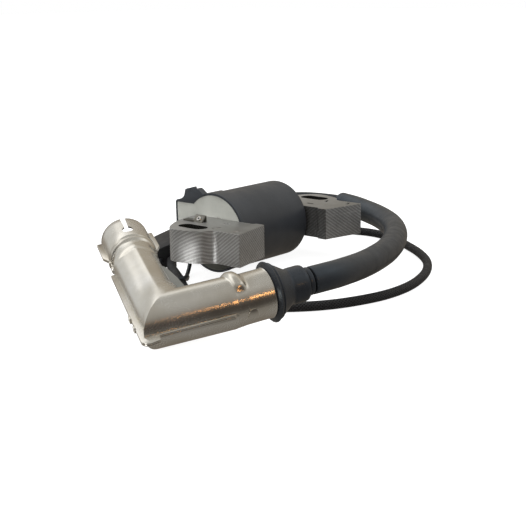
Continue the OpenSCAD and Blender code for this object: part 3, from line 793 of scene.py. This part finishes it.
# ---------------------------------------------------------------- plug cap
boot_profile = [
    (3.8, 10.2), (6.7, 10.2), (6.7, 5), (8.1, 5), (8.1, 12.8), (8.9, 12.9), (10.8, 13.6), (10.92, 13.8),
    (10.75, 14.05), (9.95, 14.9), (10.15, 15.15), (10.1, 15.35), (9.5, 15.9), (6.75, 20.2), (6.4, 20.9),
    (6.35, 21.4), (6.55, 21.9), (6.6, 26.0), (6.4, 27.0), (5.9, 27.5), (5.3, 27.6), (3.8, 27.6)]
lathe("cap_boot_piece", soften(boot_profile, 0.05, 1), "boot_rubber", "cap", BEND, ("cap_boot",), 96, 15)


def eased_step(t):
    t = min(1.0, max(0.0, t))
    return t * t * (3 - 2 * t)


LEAD_ARM_R, LEAD_ARM_END = 9.3, 23.2  # outside radius, and where the boot's side takes over
PLUG_ARM_R, PLUG_ARM_END = 7.8, 41  # outside radius, and where the mouth takes over
SWELL = 1.5  # how much wider the plug arm is at the elbow
RIDGE, RIDGE_SPREAD = 0.8, 0.62  # height, and half width in radians
FLARE, FLARE_FROM = 1.35, 1.85  # the outer flank stands out from this angle on
TUCK = 1.5  # how far the inner flank is pressed in
CAP_TO_BEND = CAP.inverted() @ BEND


def arm_point(phi, station, inset):
    """A point on the shield, in the cap's frame. phi goes from the inner flank over the top to the outer."""
    kind, value = station
    c, s = math.cos(phi), math.sin(phi)
    ridge = RIDGE * max(0.0, 1 - abs(phi - math.pi / 2) / RIDGE_SPREAD) ** 2
    flare = FLARE * eased_step(phi - FLARE_FROM)
    if kind == "lead":
        r = LEAD_ARM_R - inset
        x0 = r * c
        return Vector((x0 + (LEAD_ARM_END - x0) * value, r * c, r * s))
    if kind == "plug":
        # The swell dies out over the first 0.4 of the arm, and the flank is tucked in from 10 to 38 mm.
        wide = max(SWELL * (1 - eased_step(value / 0.4)), flare)
        r = PLUG_ARM_R + wide + ridge * eased_step((value - 0.02) / 0.3) - inset
        y0 = (LEAD_ARM_R - inset) * c
        y = y0 + (PLUG_ARM_END - y0) * value
        tuck = eased_step((y - 10) / 6) * eased_step((38 - y) / 12) * (1 - eased_step(phi / 0.6))
        return Vector(((r - TUCK * tuck) * c, y, r * s))
    if kind == "mouth":
        y, r = value
        r += ridge * (1 - eased_step((y - PLUG_ARM_END) / 8)) - inset
        r += flare * (1 - eased_step((y - PLUG_ARM_END - 1) / 7))
        return Vector((r * c, y, r * s))
    t, base, bead = value
    r = base + bead * (1 - eased_step((phi - 2.05) / 0.3)) - inset
    return CAP_TO_BEND @ Vector((t, r * c, r * s))


# The shield's cross-sections. On the boot's side: distance along its axis, radius and the bead's height.
# On the two arms: the share of the way out from the elbow's mitre. At the mouth: distance and radius.
BEND_STATIONS = [
    (12.5, 9.05, 0), (12.3, 8.95, 0), (12.0, 8.9, 0), (8, 8.9, 0), (4.4, 8.9, 0), (3.6, 8.9, 0.1),
    (3.0, 8.92, 0.45), (2.4, 8.95, 1.05), (1.8, 9.0, 1.4), (1.0, 9.05, 1.5), (0.0, 9.1, 1.45),
    (-0.8, 9.15, 1.0), (-1.3, 9.2, 0.4), (-1.7, 9.25, 0)]
LEAD_STATIONS = [0.96, 0.85, 0.7, 0.5, 0.3, 0.15, 0.06, 0.02, 0.0]
PLUG_STATIONS = [0.01, 0.03, 0.07, 0.12, 0.2, 0.3, 0.42, 0.6, 0.8, 0.96, 0.99]
MOUTH_STATIONS = [
    (41, 7.8), (41.3, 7.82), (41.7, 8.02), (45, 8.08), (48.4, 8.15), (48.9, 8.22), (49.3, 8.6), (49.7, 8.92),
    (50.2, 9.02), (50.7, 8.92), (51.0, 8.78), (51.3, 8.8), (51.7, 9.08), (52.2, 9.2), (57, 9.2), (62, 9.2),
    (65, 9.2), (67.8, 9.2), (68, 9.1)]


def shield(side, node):
    """One half of the shield: side is 1 for the upper half, which has the bead, and -1 for the lower one."""
    raised = 1.0 if side > 0 else 0.0
    stations = [("bend", (t, r, bead * raised)) for t, r, bead in BEND_STATIONS]
    for kind, values in (("lead", LEAD_STATIONS), ("plug", PLUG_STATIONS), ("mouth", MOUTH_STATIONS)):
        stations += [(kind, value) for value in values]
    columns = 48
    texture_r = 9  # makes the texture as wide as the arms' half circumference
    loop = [(math.pi * k / columns * side, 0.0) for k in range(columns + 1)]
    loop += [(phi, SHEET) for phi, _ in loop[::-1]]
    verts, uvs, run, before = [], [], [0.0] * len(loop), None
    for station in stations:
        flat = CAP_TO_BEND if station[0] == "bend" else Matrix.Identity(4)
        row = []
        for phi, inset in loop:
            point = arm_point(abs(phi), station, inset)
            if side < 0:
                local = flat.inverted() @ point
                point = flat @ Vector((local.x, local.y, -local.z))
            row.append(point)
        if before is not None:
            run = [r + (a - b).length for r, a, b in zip(run, row, before)]
        before = row
        verts += row
        uvs += [(texture_r * abs(phi), r) for (phi, _), r in zip(loop, run)]
    width, faces = len(loop), []
    for i in range(len(stations) - 1):
        faces += band(i * width, (i + 1) * width, width)
    for base in (0, (len(stations) - 1) * width):
        top = base + width - 1
        faces += [(base + k, base + k + 1, top - 1 - k, top - k) for k in range(columns)]
    return made(node + "_piece", verts, faces, "shield_nickel", "cap", (node,), 38, uvs, CAP)


def cut_away(obj, outline, low, high):
    """Cuts a flat outline, drawn in the cap's frame, out of a piece."""
    verts, faces = extruded(outline, low, high)
    mesh = bpy.data.meshes.new("cutter")
    mesh.from_pydata([(CAP @ Vector(v)) * MM for v in verts], [], faces)
    tidy_normals(mesh, 30)
    cutter = bpy.data.objects.new("cutter", mesh)
    scene.collection.objects.link(cutter)
    boolean = obj.modifiers.new("cut", "BOOLEAN")
    boolean.operation = "DIFFERENCE"
    boolean.solver = "EXACT"
    boolean.object = cutter
    settle(obj, 38)
    bpy.data.objects.remove(cutter)


upper = shield(1, "shield_upper")
lower = shield(-1, "shield_lower")
KEYHOLE = [(1.6, 69), *arc((0.4, 57.4), (2.1, 2.3), 72, -12.8, 26), (-0.5, 69)]
cut_away(upper, KEYHOLE, 3, 12)

# Outlines of the flat parts round the shield. The hem and the ear stand upright on the lead arm's side.
LIP = [
    (-10.9, 39.5), (-10.9, -11.5), *arc((-7.9, -11.5), 3, 190, 10, 9), (-4.6, -13.6), (-4.2, -10.7),
    (21.8, -10.1), (22.4, -9.6), (23.4, -9.6), (23.4, -9.0), (-8.2, -9.0), (-7.6, -7.6), (-7.6, 39.5)]
CLIPS = [
    [(-7.9, 50.6), (-9.7, 50.2), (-9.7, 48.4), (-7.9, 48.9)],
    [(-8.6, 48.8), (-9.3, 48.6), (-9.3, 45.6), (-8.6, 45.8)],
    [(-7.9, 46.0), (-9.7, 45.6), (-9.6, 43.4), (-8.6, 42.9), (-7.9, 43.3)]]
HEM = [
    (-6.5, -0.7), (22.1, -0.7), (22.1, -1.75), (0.8, -1.75), (0.6, -2.3), (-0.6, -2.3), (-0.8, -1.75),
    (-3.4, -1.75), (-3.9, -2.4), (-6.5, -2.4)]
EAR = [(1.6, -2.6), *arc((3.4, -0.9), (1.7, 1.5), 180, -18, 11), (5.2, -2.6)]
SIDEWAYS = Matrix(((1, 0, 0, 0), (0, 0, -1, 0), (0, 1, 0, 0), (0, 0, 0, 1)))
for side, shell in ((1, upper), (-1, lower)):
    low, high = (0.02, SHEET) if side > 0 else (-SHEET, -0.02)
    tab_low, tab_high = (0.3, 0.95) if side > 0 else (-0.95, -0.3)
    # Each plate: name, outline, lowest and highest level, frame and how far its edges are rounded.
    plates = [("lip", LIP, low, high, CAP, 0.14)]
    for s in (-1, 1):
        fin = [(s * x, y) for x, y in (
            (7.9, 50), (8.6, 50), (11, 55), (11, 67.6), (10.6, 68), (9.0, 68), (8.0, 55))]
        plates.append(("fin", fin, low, high, CAP, 0.14))
    for y, deep in ((5, 1.6), (-2.2, 1.2)):
        tab = [(-10.7, y + deep), (-11.5, y + deep - 0.3), (-11.5, y - deep + 0.3), (-10.7, y - deep)]
        plates.append(("tab", tab, tab_low, tab_high, CAP, 0.14))
    if side < 0:
        plates += [("clip", clip, -1.1, 1.1, CAP, 0.14) for clip in CLIPS]
        plates.append(("hem", HEM, 9.0, 9.55, CAP @ SIDEWAYS, 0.12))
        plates.append(("ear", EAR, 8.75, 9.4, BEND @ SIDEWAYS, 0.12))
    joined(shell, *(prism(name, outline, bottom, top, "shield_nickel", "cap", at, width)
                    for name, outline, bottom, top, at, width in plates))

insulator = eased("cap_body", "phenolic", "cap", 0.3)
WEB = [(6.4, 40), (7.8, 40), (9.4, 37), (11.2, 27), (12.2, 18), (14, 13), (17, 10.4), (17, 8.8), (6.4, 8.8)]
joined(insulator, prism("web", WEB, -0.7, -0.05, "phenolic", "cap", CAP, 0.2))
ring_profile = [(5.6, 45), (7, 45), (7, 49), (6.2, 50.4), (5.6, 50.4)]
lathe("plug_seal_piece", soften(ring_profile, 0.35), "boot_rubber", "cap", CAP_Y, ("plug_seal",))

# ---------------------------------------------------------------- inner parts keep their CAD solids
INNER = {
    "primary_bobbin": "bobbin_plastic", "primary_winding": "copper_enamel",
    "secondary_bobbin": "bobbin_plastic", "secondary_winding": "copper_enamel",
    "hv_terminal": "contact_brass", "control_board": "board_laminate", "board_components": "chip_plastic",
    "power_transistor": "chip_plastic", "lead_screw": "contact_brass", "cap_resistor": "ceramic_body",
    "contact_spring": "spring_steel", "plug_terminal": "contact_brass", "snap_ring": "spring_steel",
    "connector_terminals": "contact_brass"}
for node, slot in INNER.items():
    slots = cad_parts[node].material_slots
    for holder in slots:
        holder.material = FINISH[slot]
    if not slots:
        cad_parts[node].data.materials.append(FINISH[slot])

# ---------------------------------------------------------------- floor, light and surroundings
FLOOR_Z, FLOOR_REACH = -0.01036, 6
floor_corners = [(x * FLOOR_REACH, y * FLOOR_REACH, FLOOR_Z)
                 for x, y in ((-1, -1), (1, -1), (1, 1), (-1, 1))]
floor_mesh = bpy.data.meshes.new("floor")
floor_mesh.from_pydata(floor_corners, [], [(0, 1, 2, 3)])
floor = bpy.data.objects.new("floor", floor_mesh)
scene.collection.objects.link(floor)
ground = Finish("floor", Roughness=0.9, Emission_Color=(1, 1, 1, 1), Emission_Strength=0.9)
ground.shader.inputs["Base Color"].default_value = (0.34, 0.34, 0.34, 1)
floor_mesh.materials.append(ground.material)
floor.visible_glossy = False
floor.visible_diffuse = False


def softbox(name, place, aim, size, power, colour=(1, 1, 1), gloss=False):
    """An area light that shines at a point. gloss says whether the object's polish mirrors it."""
    data = bpy.data.lights.new(name, "AREA")
    data.shape, data.size, data.size_y = "RECTANGLE", size[0], size[1]
    data.energy, data.color = power, colour
    obj = bpy.data.objects.new(name, data)
    obj.location = place
    obj.rotation_euler = (Vector(aim) - Vector(place)).to_track_quat("-Z", "Y").to_euler()
    obj.visible_glossy = gloss
    scene.collection.objects.link(obj)


softbox("overhead", (-0.05, 0.1, 0.9), (-0.02, -0.02, 0), (1.0, 0.8), 5.0)
softbox("left", (-0.9, 0.25, 0.45), (-0.05, -0.03, 0), (0.5, 0.5), 2.5)
softbox("front", (-0.35, -0.9, 0.5), (-0.03, -0.03, 0), (0.6, 0.4), 1.0)
softbox("warm strip", (-0.148, -0.343, 0.093), (-0.090, -0.068, 0.0055), (0.126, 0.011), 0.042,
        (1.0, 0.46, 0.14), True)

world = bpy.data.worlds.new("studio")
scene.world = world
world.use_nodes = True
world.node_tree.nodes.clear()
sky = Nodes(world.node_tree)
direction = sky.node("TexCoord").outputs["Generated"]


def towards(way):
    """How nearly a direction points this way, from -1 to 1."""
    return sky.node("VectorMath", {0: direction, 1: way}, operation="DOT_PRODUCT").outputs["Value"]


def glow(colour, strength=1.0):
    return sky.node("Background", {"Color": colour, "Strength": strength}).outputs[0]


def only(rays, first, second):
    """The first light, and the second one for this kind of rays."""
    share = sky.node("LightPath").outputs[rays]
    return sky.node("MixShader", {0: share, 1: first, 2: second}).outputs[0]


# What polished faces mirror behind, before and beside the object, from the bottom at 0 to the top at 1.
BEHIND = (
    (0.0, (0.22, 0.205, 0.185)), (0.44, (0.36, 0.34, 0.31)), (0.53, (0.64, 0.65, 0.65)),
    (0.74, (0.70, 0.705, 0.705)), (0.80, (1.5, 1.5, 1.5)), (0.88, (1.3, 1.3, 1.3)),
    (0.93, (0.5, 0.495, 0.475)), (1.0, (0.42, 0.415, 0.40)))
BEFORE = (
    (0.0, (0.30, 0.288, 0.27)), (0.2, (0.22, 0.207, 0.19)), (0.33, (0.07, 0.063, 0.056)),
    (0.50, (0.045, 0.040, 0.037)), (0.60, (0.085, 0.080, 0.073)), (0.68, (0.22, 0.212, 0.198)),
    (0.8, (0.34, 0.333, 0.315)), (1.0, (0.46, 0.455, 0.44)))
BESIDE = (
    (0.0, (0.14, 0.12, 0.1)), (0.5, (0.30, 0.26, 0.21)), (0.7, (0.42, 0.38, 0.32)),
    (1.0, (0.42, 0.40, 0.35)))
FRONT_WAY, SIDE_WAY, PATCH_WAY = (-0.757, -0.653, 0), (0.97, 0.24, 0), (-0.966, 0.101, -0.2375)
PATCH_LIGHT = 7.0  # a bright patch that the elbow mirrors

height = sky.node("SeparateXYZ", {0: direction}).outputs[2]
level = sky.span(height, -1.0, 1.0)
behind, before, beside = (sky.colours(level, *stops) for stops in (BEHIND, BEFORE, BESIDE))
around = sky.blend(sky.span(towards(SIDE_WAY), 0.35, 0.75), behind, beside)
room = sky.blend(sky.span(towards(FRONT_WAY), -0.25, 0.45), around, before)
patch = sky.span(towards(PATCH_WAY), 0.975, 0.992, 0.0, PATCH_LIGHT)
room = sky.blend(1.0, room, patch, blend_type="ADD")
white = (1, 1, 1, 1)
soft = glow(white, sky.span(height, -0.15, 0.15, 0.16, 1.0))
lit = only("Is Glossy Ray", soft, glow(room))
sky.node("OutputWorld", {"Surface": only("Is Camera Ray", lit, glow(white))})

scene.view_settings.view_transform = "Standard"
scene.view_settings.look = "None"
